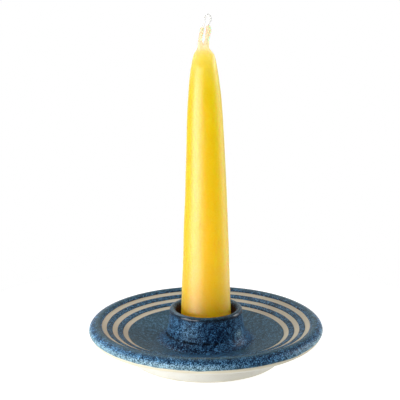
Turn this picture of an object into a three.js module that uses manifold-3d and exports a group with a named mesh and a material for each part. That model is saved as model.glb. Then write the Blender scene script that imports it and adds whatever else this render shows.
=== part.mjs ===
// A hand-dipped beeswax taper standing in a wheel-thrown stoneware candle saucer.
// Millimetres, +Z up. The origin is on the saucer's axis, at the bottom of its foot.
import * as THREE from 'three';
import { mergeVertices } from 'three/addons/utils/BufferGeometryUtils.js';
import Module from 'manifold-3d';

const wasm = await Module();
wasm.setup();

// Driving dimensions

const foot = {
  radius: 33.2, // outside of the turned foot ring where it stands
  flare: 0.5, // how much wider the foot is where it meets the underside
  height: 4.8,
  edgeRadius: 1.3, // softened outer bottom edge
  ringWidth: 4.4,
  recessDepth: 2.6, // hollow turned out inside the ring
  recessDraft: 0.9, // slope of the hollow's side
};

const dish = {
  baseThickness: 5.2, // clay between the recess and the seat of the cup
  rimRadius: 50.6,
  rimOverhang: 3.6, // horizontal half-axis of the rounded rim
  rimCrown: 2.45, // rim above its widest line
  rimBelly: 2.6, // rim below its widest line
  crestRise: 0.2, // rim crest above the outer stripe
  floorSlope: 0.18, // slope of the floor beside the cup
  floorCurve: 0.0037, // how fast that slope grows outwards, per millimetre
};

const stripe = {
  inset: 5.27, // rim's outside to the outermost stripe
  width: 2.12, // bare clay
  spacing: 2.5, // glazed band between two stripes
};

// One glazed band lies between each two stripes, so there is one stripe more than bands.
const bandNames = ['outer_band_glaze', 'inner_band_glaze'];

const glaze = {
  thickness: 0.35,
  bond: 0.05, // room between a fused coat and its clay
  apron: 0.35, // glaze below the rim's widest line
};

const cup = {
  depth: 14.6, // seat to lip
  mouthFlare: 1.65, // bore is this much wider in radius at the mouth than at the seat
  lipWall: 1.74,
  footFlare: 1.6, // outside is this much wider in radius at the crease than at the lip
};

const coil = {
  width: 3.2, // roll of clay pressed into the corner round the foot of the cup
  height: 3.5,
  ledge: 0.4, // flat top of the roll, which makes the crease under the cup
  hollowOut: 1.3, // where the smoothed face is most hollow, from the cup
  hollowUp: 0.8, // and above the seat
  joint: 0.05, // slip joint between two pieces of clay
};

const taper = {
  baseRadius: 11.15,
  baseEdge: 1.0, // worn bottom edge
  socketPlay: 0.45, // radial play of the base in the glazed bore
  seatPlay: 0.25, // base above the glazed seat
  slope: 0.0293, // radius lost per millimetre of height
  slopeGrowth: 0.0000661, // further loss, per square millimetre
  shoulderHeight: 91.5, // base to the start of the rounded tip
  neckHeight: 129.4, // base to where the tip narrows to the wick
  neckRadius: 2.5,
  tipSquareness: 3, // 2 gives an elliptical tip, and more a squarer one
  webHeight: 1.8, // wax web between the wick's legs, above the neck
  webTaper: 0.2,
  flattening: 0.52, // neck's depth lost, because the two strands lie side by side
  flatteningHeight: 8, // length of the tip over which it flattens
  bow: 1.0, // sideways bend, reached at bowHeight above the straight foot
  bowHeight: 100,
  bowPower: 3, // the bend grows with this power of the height
  straightFoot: 21.5, // length that stands straight
};

const wick = {
  radius: 0.55, // one strand of the doubled wick
  strandGap: 0.6, // wax between the two strands in the core
  play: 0.05, // between a strand and the wax
  leftCoat: 0.28, // wax on the left leg
  rightCoat: 0.42, // wax on the right leg
  legRoot: 1, // the wax legs start this far below the middle of the neck's top
  coreDepth: 6, // below the neck, where the strands start to part
  baseInset: 0.4, // strand ends above the candle's base
};

// Route of the wick above the neck, as sideways and upward distances from the neck's middle.
// It runs up the left leg, round the bare loop and down the right leg.
const leftLegRoute = [
  [-1.55, 1.1],
  [-1.36, 2.7],
  [-1.02, 4.8],
  [-0.6, 6.9],
  [-0.28, 8.6],
];
const loopRoute = [
  [0.14, 9.7],
  [0.39, 11.2],
  [0.51, 12.5],
  [1.05, 13.35],
  [1.89, 13.7],
  [2.68, 13.2],
  [2.98, 12.25],
  [2.81, 11.2],
  [2.18, 10.2],
];
const rightLegRoute = [
  [1.9, 9.4],
  [2.18, 8.4],
  [2.31, 7.3],
  [1.97, 5.6],
  [1.68, 3.9],
  [1.56, 1.6],
];

const roundSides = 40; // facets round a turned piece
const strandSides = 8;
const strandSteps = 2; // facets along the wick from one route point to the next
const arcSteps = 4;
const wellSteps = 4;
const taperSteps = 8;
const tipSteps = 9;
const coreSteps = 5;
const weld = 1e-4; // vertices closer than this are one

const clayMaterial = { color: 0xded8c4, roughness: 0.85, metalness: 0 };
const glazeMaterial = { color: 0x3c5f86, roughness: 0.3, metalness: 0 };
const wellMaterial = { color: 0x4a6075, roughness: 0.45, metalness: 0 };
const waxMaterial = { color: 0xe9bd32, roughness: 0.45, metalness: 0 };
const cottonMaterial = { color: 0xf6f3ea, roughness: 0.95, metalness: 0 };

const coat = glaze.bond + glaze.thickness; // clay to the face of its glaze

// Shared shapes

const point = (r, z) => new THREE.Vector2(r, z);

// Points on a quarter of an ellipse, from one angle to another in quarter turns.
function quarter(centre, radialAxis, heightAxis, from, to) {
  return Array.from({ length: arcSteps + 1 }, (_, i) => {
    const angle = ((from + ((to - from) * i) / arcSteps) * Math.PI) / 2;
    return point(
      centre.x + radialAxis * Math.cos(angle),
      centre.y + heightAxis * Math.sin(angle),
    );
  });
}

// The path moved sideways to its left by a distance, with mitred corners.
function offset(path, distance) {
  const normals = path.slice(1).map((end, i) => {
    const along = end.clone().sub(path[i]).normalize();
    return point(-along.y, along.x);
  });
  return path.map((corner, i) => {
    const before = normals[Math.max(i - 1, 0)];
    const after = normals[Math.min(i, normals.length - 1)];
    const mitre = before.clone().add(after);
    const reach = (2 * distance) / mitre.lengthSq();
    return corner.clone().addScaledVector(mitre, reach);
  });
}

function turned(profile) {
  return new THREE.LatheGeometry(profile, roundSides).rotateX(Math.PI / 2);
}

// A coat of glaze over a path on the clay, as a closed profile.
function coated(path) {
  const under = offset(path, glaze.bond);
  const over = offset(path, coat);
  for (const face of [under, over]) {
    if (path[0].x === 0) face[0].x = 0;
  }
  const closing = path[0].x === 0 ? [] : [under[0]];
  return turned([...under, ...over.reverse(), ...closing]);
}

function named(name, geometry, material) {
  const mesh = new THREE.Mesh(geometry, new THREE.MeshStandardMaterial(material));
  mesh.name = name;
  return mesh;
}

function solidOf(geometry) {
  const bare = geometry.index ? geometry.toNonIndexed() : geometry.clone();
  bare.deleteAttribute('normal');
  bare.deleteAttribute('uv');
  const merged = mergeVertices(bare, weld);
  return new wasm.Manifold(
    new wasm.Mesh({
      numProp: 3,
      vertProperties: merged.attributes.position.array,
      triVerts: new Uint32Array(merged.index.array),
    }),
  );
}

function geometryOf(solid) {
  const mesh = solid.getMesh();
  const geometry = new THREE.BufferGeometry();
  geometry.setAttribute('position', new THREE.BufferAttribute(mesh.vertProperties, 3));
  geometry.setIndex(new THREE.BufferAttribute(mesh.triVerts, 1));
  geometry.computeVertexNormals();
  return geometry;
}

// Saucer

const seatHeight = foot.recessDepth + dish.baseThickness;
const boreFoot = taper.baseRadius + taper.socketPlay + coat;
const boreMouth = boreFoot + cup.mouthFlare;
const cupLip = boreMouth + cup.lipWall;
const cupFoot = cupLip + cup.footFlare;
const coilInside = cupFoot + coil.joint;
const wellRadius = coilInside + coil.width;

const floorHeight = (r) => {
  const out = r - wellRadius;
  return seatHeight + dish.floorSlope * out + dish.floorCurve * out ** 2;
};
const floorPoint = (r) => point(r, floorHeight(r));

// Bare clay stripes, from the rim inwards, each with the radius of its outer and inner edge.
const stripes = Array.from({ length: bandNames.length + 1 }, (_, i) => {
  const outer = dish.rimRadius - stripe.inset - i * (stripe.width + stripe.spacing);
  return { outer, inner: outer - stripe.width };
});
const outerEdge = stripes[0].outer;
const wellEdge = stripes.at(-1).inner;

const wellFloor = Array.from({ length: wellSteps + 1 }, (_, i) =>
  floorPoint(wellRadius + ((wellEdge - wellRadius) * i) / wellSteps),
);

const rimCentre = point(
  dish.rimRadius - dish.rimOverhang,
  floorHeight(outerEdge) + dish.crestRise - dish.rimCrown,
);
const crown = quarter(rimCentre, dish.rimOverhang, dish.rimCrown, 1, 0);
const belly = quarter(rimCentre, dish.rimOverhang, dish.rimBelly, 0, -1);
const apronAngle = Math.asin(glaze.apron / dish.rimBelly);
const apronEdge = point(
  rimCentre.x + dish.rimOverhang * Math.cos(apronAngle),
  rimCentre.y - glaze.apron,
);

function dishGeometry() {
  const footInside = foot.radius - foot.ringWidth;
  const edge = point(foot.radius - foot.edgeRadius, foot.edgeRadius);
  const underside = [
    point(0, foot.recessDepth),
    point(footInside - foot.recessDraft, foot.recessDepth),
    point(footInside, 0),
    ...quarter(edge, foot.edgeRadius, foot.edgeRadius, -1, 0),
    point(foot.radius + foot.flare, foot.height),
  ];
  const rim = [
    ...belly.slice(1).reverse(),
    apronEdge,
    ...crown.slice().reverse(),
  ];
  const edges = stripes.flatMap(({ outer, inner }) => [outer, inner]);
  const floor = [
    ...edges.slice(0, -1).map(floorPoint),
    ...wellFloor.slice().reverse(),
    point(0, seatHeight),
  ];
  return turned([...underside, ...rim, ...floor]);
}

// Outside of the cup, from the lip down to the crease above the coil.
function cupWall() {
  const top = seatHeight + cup.depth - cup.lipWall / 2;
  const crease = seatHeight + coil.height;
  return Array.from({ length: arcSteps + 1 }, (_, i) => {
    const down = i / arcSteps;
    return point(cupLip + cup.footFlare * down ** 2, top + (crease - top) * down);
  });
}

function cupLipArc() {
  const radius = cup.lipWall / 2;
  const centre = point(boreMouth + radius, seatHeight + cup.depth - radius);
  return [
    ...quarter(centre, radius, radius, 2, 1),
    ...quarter(centre, radius, radius, 1, 0).slice(1),
  ];
}

function cupGeometry() {
  const bottom = seatHeight + coil.joint;
  const start = point(boreFoot, bottom);
  return turned([
    start,
    point(cupFoot, bottom),
    ...cupWall().reverse(),
    ...cupLipArc().reverse().slice(1),
    start,
  ]);
}

// Outside of the coil, from the crease to the floor: a flat ledge, then a hollow face.
const coilTop = seatHeight + coil.height;
const coilFace = [
  point(coilInside, coilTop),
  ...new THREE.QuadraticBezierCurve(
    point(coilInside + coil.ledge, coilTop),
    point(coilInside + coil.hollowOut, seatHeight + coil.hollowUp),
    point(wellRadius, seatHeight),
  ).getPoints(arcSteps),
];

function coilGeometry() {
  const bottom = seatHeight + coil.joint;
  const start = point(coilInside, bottom);
  const face = coilFace.slice(0, -1).reverse();
  return turned([start, point(wellRadius, bottom), ...face, start]);
}

function wellGlazeGeometry() {
  return coated([
    point(0, seatHeight),
    point(boreFoot, seatHeight),
    ...cupLipArc(),
    ...cupWall().slice(1),
    ...coilFace.slice(1),
    ...wellFloor.slice(1),
  ]);
}

// Glaze between a stripe and the next one inwards.
function bandGlazeGeometry(index) {
  return coated([floorPoint(stripes[index + 1].outer), floorPoint(stripes[index].inner)]);
}

// Glaze from the outermost stripe over the rim to its edge below the widest line.
function rimGlazeGeometry() {
  return coated([floorPoint(outerEdge), ...crown, apronEdge]);
}

// Candle

const candleBase = seatHeight + coat + taper.seatPlay;
const neckTop = candleBase + taper.neckHeight;

function bowAt(z) {
  const above = Math.max(z - candleBase - taper.straightFoot, 0);
  return -taper.bow * (above / taper.bowHeight) ** taper.bowPower;
}

// Radius of the wax at a height above the base: a slow taper, and a rounded tip that ends in the neck.
function waxRadius(height) {
  const stem = taper.baseRadius - taper.slope * height - taper.slopeGrowth * height ** 2;
  const tip = (height - taper.shoulderHeight) / (taper.neckHeight - taper.shoulderHeight);
  const round = Math.sqrt(1 - Math.max(tip, 0) ** taper.tipSquareness);
  return taper.neckRadius + (stem - taper.neckRadius) * round;
}

function waxProfile() {
  const stem = Array.from({ length: taperSteps }, (_, i) => {
    const climb = (taper.shoulderHeight - taper.baseEdge) / taperSteps;
    return taper.baseEdge + i * climb;
  });
  const tipLength = taper.neckHeight - taper.shoulderHeight;
  const tip = Array.from({ length: tipSteps + 1 }, (_, i) => {
    const share = Math.sin((i / tipSteps) * (Math.PI / 2));
    return taper.shoulderHeight + tipLength * share;
  });
  const webTop = neckTop + taper.webHeight;
  return [
    point(0, candleBase),
    point(taper.baseRadius - taper.baseEdge, candleBase),
    ...[...stem, ...tip].map((height) => point(waxRadius(height), candleBase + height)),
    point(taper.neckRadius - taper.webTaper, webTop),
    point(0, webTop),
  ];
}

// Bends a turned blank along the bow, and flattens its tip front to back.
function bent(geometry) {
  const position = geometry.attributes.position;
  for (let i = 0; i < position.count; i += 1) {
    const z = position.getZ(i);
    const up = THREE.MathUtils.smoothstep(z, neckTop - taper.flatteningHeight, neckTop);
    position.setX(i, position.getX(i) + bowAt(z));
    position.setY(i, position.getY(i) * (1 - taper.flattening * up));
  }
  return geometry;
}

// A curve whose steps follow its points, so that they are close in the loop and wide in the stem.
class Route extends THREE.CatmullRomCurve3 {
  getUtoTmapping(u) {
    return u;
  }
}

const aboveNeck = ([x, z]) => new THREE.Vector3(bowAt(neckTop) + x, 0, neckTop + z);

// One strand in the core of the candle, from the bottom up, on the left (-1) or the right (1).
function strand(side, bottom) {
  const top = neckTop - wick.coreDepth;
  const x = side * (wick.radius + wick.strandGap / 2);
  return Array.from({ length: coreSteps + 1 }, (_, i) => {
    const z = bottom + ((top - bottom) * i) / coreSteps;
    return new THREE.Vector3(x + bowAt(z), 0, z);
  });
}

function tube(route, radius) {
  const ring = Array.from({ length: strandSides }, (_, i) => {
    const angle = (2 * Math.PI * i) / strandSides;
    return point(radius * Math.cos(angle), radius * Math.sin(angle));
  });
  return new THREE.ExtrudeGeometry(new THREE.Shape(ring), {
    steps: (route.length - 1) * strandSteps,
    bevelEnabled: false,
    extrudePath: new Route(route),
  });
}

const wickRoute = (bottom) => [
  ...strand(-1, bottom),
  ...[...leftLegRoute, ...loopRoute, ...rightLegRoute].map(aboveNeck),
  ...strand(1, bottom).reverse(),
];

function waxGeometry() {
  const inside = ([x]) => [x, -wick.legRoot];
  const leftLeg = [inside(leftLegRoute[0]), ...leftLegRoute].map(aboveNeck);
  const rightLeg = [...rightLegRoute.slice(1), inside(rightLegRoute.at(-1))].map(aboveNeck);
  const wax = solidOf(bent(turned(waxProfile())))
    .add(solidOf(tube(leftLeg, wick.radius + wick.leftCoat)))
    .add(solidOf(tube(rightLeg, wick.radius + wick.rightCoat)));
  const bore = tube(wickRoute(candleBase - wick.baseInset), wick.radius + wick.play);
  return geometryOf(wax.subtract(solidOf(bore)));
}

const wickGeometry = () => tube(wickRoute(candleBase + wick.baseInset), wick.radius);

const saucer = new THREE.Group();
saucer.add(
  named('dish', dishGeometry(), clayMaterial),
  named('candle_cup', cupGeometry(), clayMaterial),
  named('luting_coil', coilGeometry(), clayMaterial),
  named('rim_glaze', rimGlazeGeometry(), glazeMaterial),
  ...bandNames.map((name, i) => named(name, bandGlazeGeometry(i), wellMaterial)),
  named('well_glaze', wellGlazeGeometry(), glazeMaterial),
);

const candle = new THREE.Group();
candle.add(
  named('wax_taper', waxGeometry(), waxMaterial),
  named('wick', wickGeometry(), cottonMaterial),
);

const group = new THREE.Group();
group.add(saucer, candle);

export default group;
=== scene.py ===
"""A hand-dipped beeswax taper in a small thrown stoneware saucer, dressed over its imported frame."""

import math

import bpy
import numpy as np
from bpy.props import FloatProperty, FloatVectorProperty, IntProperty, PointerProperty
from bpy.types import Operator, Panel, PropertyGroup
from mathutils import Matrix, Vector


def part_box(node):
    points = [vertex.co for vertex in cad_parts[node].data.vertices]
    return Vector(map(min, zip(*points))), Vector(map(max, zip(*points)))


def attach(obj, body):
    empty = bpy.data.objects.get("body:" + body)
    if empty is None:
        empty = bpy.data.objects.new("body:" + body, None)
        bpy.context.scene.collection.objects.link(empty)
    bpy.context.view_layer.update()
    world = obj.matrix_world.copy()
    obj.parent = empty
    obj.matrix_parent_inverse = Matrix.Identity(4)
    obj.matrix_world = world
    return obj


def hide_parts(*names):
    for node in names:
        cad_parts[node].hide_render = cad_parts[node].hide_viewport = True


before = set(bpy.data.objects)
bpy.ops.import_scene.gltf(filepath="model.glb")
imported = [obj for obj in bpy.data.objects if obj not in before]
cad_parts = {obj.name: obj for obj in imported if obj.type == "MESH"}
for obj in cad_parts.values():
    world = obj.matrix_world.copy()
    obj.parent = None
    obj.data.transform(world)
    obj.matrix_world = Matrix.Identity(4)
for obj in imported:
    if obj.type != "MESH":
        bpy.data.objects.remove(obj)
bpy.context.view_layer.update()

bl_info = {
    "name": "Beeswax taper and saucer",
    "version": (1, 0, 0),
    "blender": (4, 5, 0),
    "location": "3D View > Sidebar > Candle",
    "description": "Turned clay, melted glaze, dipped wax and braided wick over the packed frame",
    "category": "Add Mesh",
}

DISH_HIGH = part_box("dish")[1]
CUP_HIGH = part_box("candle_cup")[1]
COIL_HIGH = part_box("luting_coil")[1]
WAX_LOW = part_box("wax_taper")[0]

SAUCER = "saucer"
CANDLE = "candle"
SAME_POINT = 1e-7
QUARTER = math.pi / 2
TURN = 2 * math.pi
WHITE = (1.0, 1.0, 1.0, 1.0)
BLACK = (0.0, 0.0, 0.0, 1.0)


def length(name, description, default):
    """A size in metres."""
    return FloatProperty(name=name, description=description, default=default, unit="LENGTH", precision=5)


def share(name, description, default):
    """A plain number, such as a slope or a strength."""
    return FloatProperty(name=name, description=description, default=default, precision=4)


def colour(name, description, default):
    """A colour in linear red, green and blue."""
    return FloatVectorProperty(
        name=name, description=description, default=default, size=3, min=0.0, max=1.0, subtype="COLOR"
    )


class SaucerSizes(PropertyGroup):
    """Sizes of the thrown dish and its turned foot."""

    rim_radius: length("Rim radius", "Clay at its widest", DISH_HIGH.x)
    rim_overhang: length("Rim overhang", "Half the width of the rounded rim", 0.0036)
    rim_crown: length("Rim crown", "Rim above its widest line", 0.00287)
    rim_belly: length("Rim belly", "Rim below its widest line", 0.00278)
    crest_rise: length("Crest rise", "Rim crest above the outer stripe", 0.0008)
    seat_height: length("Seat height", "Clay under the candle, above the ground", 0.0078)
    floor_slope: share("Floor slope", "Slope of the floor beside the cup", 0.18)
    floor_curve: share("Floor curve", "Growth of that slope outwards, per metre", 3.7)
    stripe_inset: length("Stripe inset", "Rim to the outermost stripe", 0.00527)
    stripe_width: length("Stripe width", "Bare clay between two glazes", 0.00212)
    stripe_spacing: length("Stripe spacing", "Glaze between two stripes", 0.0025)
    foot_radius: length("Foot radius", "Outside of the foot ring", 0.0332)
    foot_flare: length("Foot flare", "Foot wider at its top by", 0.0005)
    foot_height: length("Foot height", "Ground to the underside", 0.0048)
    foot_edge: length("Foot edge", "Radius of the softened edge", 0.0013)
    ring_width: length("Ring width", "Foot ring that stands on the ground", 0.0044)
    recess_depth: length("Recess depth", "Hollow turned inside the ring", 0.0026)
    recess_draft: length("Recess draft", "Slope of the hollow's side", 0.0009)
    ridge_pitch: length("Ridge pitch", "Distance between two throwing ridges", 0.0031)
    ridge_height: length("Ridge height", "Height of a throwing ridge", 0.00003)
    wobble: length("Wobble", "How far the rim is out of round", 0.00025)
    wobble_turn: share("Wobble turn", "Where the rim is widest, in quarter turns from the right", 0.5)
    front_rise: length("Front rise", "Stripes and crest higher in front, where the dish has warped", 0.0011)
    front_rise_depth: length("Front rise depth", "Clay under the floor over which that fades out", 0.004)
    sides: IntProperty(name="Sides", description="Steps round a turned piece", default=288, min=24)


class CupSizes(PropertyGroup):
    """Sizes of the candle cup and of the coil pressed round its foot."""

    lip_height: length("Lip height", "Ground to the top of the clay lip", CUP_HIGH.z)
    foot_radius: length("Foot radius", "Outside of the cup at the crease", CUP_HIGH.x)
    foot_flare: length("Foot flare", "Cup wider at the crease than at the lip by", 0.0016)
    lip_wall: length("Lip wall", "Thickness of the clay at the lip", 0.00174)
    mouth_flare: length("Mouth flare", "Bore wider at the mouth than at the seat by", 0.00165)
    coil_radius: length("Coil radius", "Outer edge of the coil, where the floor starts", COIL_HIGH.x)
    coil_top: length("Coil top", "Ground to the crease", COIL_HIGH.z)
    coil_ledge: length("Coil ledge", "Flat top of the coil", 0.0004)
    hollow_out: length("Hollow out", "Deepest point of the coil's face, from the cup", 0.0013)
    hollow_up: length("Hollow up", "Deepest point of the coil's face, above the seat", 0.0008)
    slip_joint: length("Slip joint", "Slip between two pieces of clay", 0.00005)
    crease_depth: length("Crease depth", "Groove left where the coil wasn't pressed in", 0.00026)
    crease_width: length("Crease width", "Half the width of that groove", 0.0002)


class GlazeSizes(PropertyGroup):
    """Thickness and edges of the glaze."""

    thickness: length("Thickness", "Glass over the clay", 0.00035)
    bond: length("Bond", "Layer between clay and glass", 0.00005)
    apron: length("Apron", "Glaze below the widest line of the rim", 0.0001)
    edge: length("Edge", "Length over which the glass thins out", 0.0005)
    edge_waver: length("Edge waver", "How far an edge of the glass wanders", 0.00007)
    apron_waver: length("Apron waver", "How far the glaze under the rim runs down in places", 0.00022)


class TaperSizes(PropertyGroup):
    """Sizes of the dipped taper."""

    base_height: length("Base height", "Ground to the bottom of the wax", WAX_LOW.z)
    base_radius: length("Base radius", "Wax at its base", 0.01115)
    base_edge: length("Base edge", "Radius of the worn bottom edge", 0.001)
    slope: share("Slope", "Radius lost per metre of height", 0.0293)
    slope_growth: share("Slope growth", "Further loss, per square metre", 0.0661)
    shoulder: length("Shoulder", "Base to the start of the rounded tip", 0.0915)
    neck: length("Neck", "Base to where the tip meets the wick", 0.1294)
    neck_radius: length("Neck radius", "Half the width of the neck", 0.0025)
    tip_squareness: share("Tip squareness", "2 gives an elliptical tip, and more a squarer one", 3.0)
    web_height: length("Web height", "Wax between the legs of the wick, above the neck", 0.001)
    flattening: share("Flattening", "Depth that the neck loses front to back", 0.52)
    flattening_height: length("Flattening height", "Length of tip over which it flattens", 0.008)
    bow: length("Bow", "Sideways bend", 0.001)
    bow_height: length("Bow height", "Height over which it bends that far", 0.1)
    straight_foot: length("Straight foot", "Length at the base that isn't bent", 0.0215)
    shoulder_lean: length("Shoulder lean", "The tip's shoulder further right by", 0.0002)
    lump: length("Lump", "Unevenness of the dipped surface", 0.00007)
    columns: IntProperty(name="Columns", description="Steps round the wax, even", default=112, min=16)


class WickSizes(PropertyGroup):
    """Sizes of the doubled cotton wick."""

    radius: length("Radius", "One strand of the doubled wick", 0.00055)
    strand_gap: length("Strand gap", "Wax between the two strands", 0.0006)
    left_coat: length("Left coat", "Wax on the left leg", 0.00028)
    left_swell: length("Left swell", "Thicker part of that coat by", 0.00003)
    right_coat: length("Right coat", "Wax on the right leg", 0.00042)
    right_swell: length("Right swell", "Thicker part of that coat by", 0.00013)
    core_depth: length("Core depth", "Below the neck, where the strands start to part", 0.006)
    base_inset: length("Base inset", "Cut ends above the bottom of the wax", 0.0004)
    plait: length("Plait", "Length in which a ply crosses over and back", 0.0026)
    ply_radius: length("Ply radius", "One of the three plies of a strand", 0.00022)


class GlazeLook(PropertyGroup):
    """Colours of the speckled blue glaze."""

    deep: colour("Deep", "Glass between the speckles", (0.0, 0.004, 0.035))
    middle: colour("Middle", "Haze round the speckles", (0.0, 0.014, 0.073))
    pale: colour("Pale", "Crystals", (0.13, 0.49, 1.0))
    milk: colour("Milk", "Milky glass where crystals are dense", (0.12, 0.33, 0.43))
    frost: colour("Frost", "Crystals where they are dense", (0.6, 0.83, 0.86))
    # Also painted sheen: the floor and the bands take this colour for the room's reflection
    thin: colour("Thin", "Glass run thin over an edge", (0.074, 0.15, 0.17))
    # Also painted shade: the dark line along the crease
    pooled: colour("Pooled", "Glass run thick in a corner", (0.0, 0.002, 0.007))
    # Painted shade and warm light from the wax, on the glaze inside the bore
    shade_and_wax_light: colour("Stained", "Glass inside the cup, browned by wax", (0.06, 0.03, 0.008))
    grain: length("Grain", "Size of a speckle", 0.00037)
    roughness: share("Roughness", "0 is a mirror and 1 is chalk", 0.29)


class ClayLook(PropertyGroup):
    """Colours of the bare clay."""

    pale: colour("Pale", "Underside and foot", (0.74, 0.735, 0.695))
    # Warmer, darker clay on the top and the stripes, also at the foot's edge; where the foot meets the
    # underside it paints shade
    warm_tone: colour("Toasted", "Stripes, where flame reached the clay", (0.72, 0.67, 0.52))
    grain: length("Grain", "Size of the sand in the clay", 0.0003)
    roughness: share("Roughness", "0 is a mirror and 1 is chalk", 0.78)


class WaxLook(PropertyGroup):
    """Colours of the beeswax."""

    body: colour("Body", "Wax in daylight", (0.97, 0.255, 0.0))
    bloom: colour("Bloom", "Pale film in streaks on the wax", (0.975, 0.3, 0.002))
    drawn: colour("Drawn", "Wax drawn thin over the wick", (0.998, 0.3, 0.035))
    # Painted glow: the thin tip emits this colour, for light from behind that comes through it
    lit: colour("Lit", "Light from behind that comes through the thin tip", (1.0, 0.47, 0.1))
    depth: length("Depth", "How far light travels in the wax", 0.3)
    roughness: share("Roughness", "0 is a mirror and 1 is chalk", 0.46)


class CottonLook(PropertyGroup):
    """Colours of the wick."""

    fibre: colour("Fibre", "Bleached cotton", (1.0, 1.0, 0.98))
    shade: colour("Shade", "Between the fibres", (0.95, 0.945, 0.91))
    fibre_turns: share("Fibre turns", "Turns of the fibres per millimetre of ply", 1.4)


class StageLook(PropertyGroup):
    """Camera and light."""

    lens: share("Lens", "Focal length in millimetres for a 36 mm sensor", 180.0)
    camera_back: length("Camera back", "Camera in front of the candle", 0.82158)
    camera_up: length("Camera up", "Camera above the ground", 0.31251)
    camera_side: length("Camera side", "Camera to the right of the candle", -0.0026)
    camera_pitch: share("Camera pitch", "Degrees below level", 16.372)
    key: share("Key", "Brightness of the long low lamp in front on the left", 10.7)
    side: share("Side", "Brightness of the small lamp level with the candle on the left", 8.4)
    fill: share("Fill", "Brightness of the soft lamp in front on the left", 15.0)
    rear: share("Rear", "Brightness of the high lamp behind on the left", 1.9)
    strip: share("Strip", "Brightness of the low lamp on the right", 2.5)
    right: share("Right", "Brightness of the lamp level with the candle on the right", 12.8)
    backdrop: share("Backdrop", "Brightness behind the candle and overhead", 0.45)
    backlight: share("Backlight", "Brightness straight behind the candle, on top of that", 0.7)
    glow: share("Glow", "Light that comes up through the table", 0.45)
    table: length("Table", "Radius of the round white table", 0.13)
    ground: colour("Ground", "Floor", (0.86, 0.86, 0.86))


# Outlines, as lines of points (distance from the axis, height)

DISH_STEP = 0.0004
WALL_POINTS = 32
COIL_POINTS = 24


def arc(centre, half_axes, start, stop, steps=24):
    """Part of an ellipse: centre + half axes times (cos a, sin a), a from start to stop in quarter turns."""
    a = np.linspace(start, stop, steps + 1) * QUARTER
    return np.stack([centre[0] + half_axes[0] * np.cos(a), centre[1] + half_axes[1] * np.sin(a)], axis=1)


def joined(*stretches):
    """Stretches of a line end to end, with a point that two of them share kept once."""
    points = np.concatenate([np.atleast_2d(s) for s in stretches])
    gaps = np.linalg.norm(np.diff(points, axis=0), axis=1)
    return points[np.append(True, gaps > SAME_POINT)]


def travelled(points):
    """Length of a line up to each of its points."""
    return np.append(0.0, np.cumsum(np.linalg.norm(np.diff(points, axis=0), axis=1)))


def evenly(points, step):
    """The same line in even steps: its coordinates interpolated over its length."""
    along = travelled(points)
    at = np.linspace(0.0, along[-1], max(math.ceil(along[-1] / step), 1) + 1)
    return np.stack([np.interp(at, along, axis) for axis in points.T], axis=1)


def leftward(points):
    """Unit normals to the left of a line: its direction turned by a quarter turn."""
    along = np.gradient(points, axis=0)
    along /= np.linalg.norm(along, axis=1, keepdims=True)
    return np.stack([-along[:, 1], along[:, 0]], axis=1)


def softened(points, rounds):
    """A line with its corners melted: each round moves an inner point halfway to its neighbours' middle."""
    points = points.copy()
    for _ in range(rounds):
        points[1:-1] = points[1:-1] / 2 + (points[:-2] + points[2:]) / 4
    return points


def eased(x):
    """Smooth step from 0 to 1: x clipped to 0..1, then three x squared less two x cubed."""
    x = np.clip(x, 0.0, 1.0)
    return x * x * (3 - 2 * x)


def nearest(points, others):
    """Distance from each point to the nearest of some others."""
    return np.linalg.norm(points[:, None] - others[None], axis=2).min(axis=1)


def floor_height(r):
    """Height of the dish's floor at a distance from the axis: a slope that grows outwards."""
    s = sizes().saucer
    out = r - sizes().cup.coil_radius
    return s.seat_height + s.floor_slope * out + s.floor_curve * out**2


def floor_line(inner, outer):
    """The dish's floor between two radii: its height, with low throwing ridges as a sine wave that fades in
    beside the coil."""
    s, c = sizes().saucer, sizes().cup
    r = np.linspace(inner, outer, max(math.ceil(abs(outer - inner) / DISH_STEP), 1) + 1)
    out = r - c.coil_radius
    ridge = s.ridge_height * np.sin(TURN * out / s.ridge_pitch) * eased(out / (2 * s.ridge_pitch))
    return np.stack([r, floor_height(r) + ridge], axis=1)


def stripe_edges():
    """Outer and inner radius of each bare stripe, from the rim inwards."""
    s = sizes().saucer
    outer = s.rim_radius - s.stripe_inset - np.arange(3) * (s.stripe_width + s.stripe_spacing)
    return np.stack([outer, outer - s.stripe_width], axis=1)


def rim_centre():
    """Centre of the rounded rim."""
    s = sizes().saucer
    crest = floor_line(0.0, stripe_edges()[0, 0])[-1, 1] + s.crest_rise
    return np.array([s.rim_radius - s.rim_overhang, crest - s.rim_crown])


def crown_line():
    """Rim from its crest to its widest line: a quarter of an ellipse."""
    s = sizes().saucer
    return arc(rim_centre(), (s.rim_overhang, s.rim_crown), 1, 0)


def dish_outline():
    """Section of the dish, from the middle of the underside round the foot, the rim and the floor."""
    s, c = sizes().saucer, sizes().cup
    inside = s.foot_radius - s.ring_width
    edge = (s.foot_radius - s.foot_edge, s.foot_edge)
    foot = [[0.0, s.recess_depth], [inside - s.recess_draft, s.recess_depth], [inside, 0.0]]
    underside = [[s.foot_radius + s.foot_flare, s.foot_height]]
    belly = arc(rim_centre(), (s.rim_overhang, s.rim_belly), -1, 0)
    floor = floor_line(stripe_edges()[0, 0], c.coil_radius)
    bottom = joined(foot, arc(edge, (s.foot_edge, s.foot_edge), -1, 0), underside, belly)
    top = joined(crown_line()[::-1], floor, [[0.0, s.seat_height]])
    return softened(evenly(joined(bottom, top), DISH_STEP), 1)


def lip_line():
    """Rounded lip of the cup, from the bore over the top to the outside."""
    c = sizes().cup
    half = c.lip_wall / 2
    centre = (c.foot_radius - c.foot_flare - half, c.lip_height - half)
    return arc(centre, (half, half), 2, 0)


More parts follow.
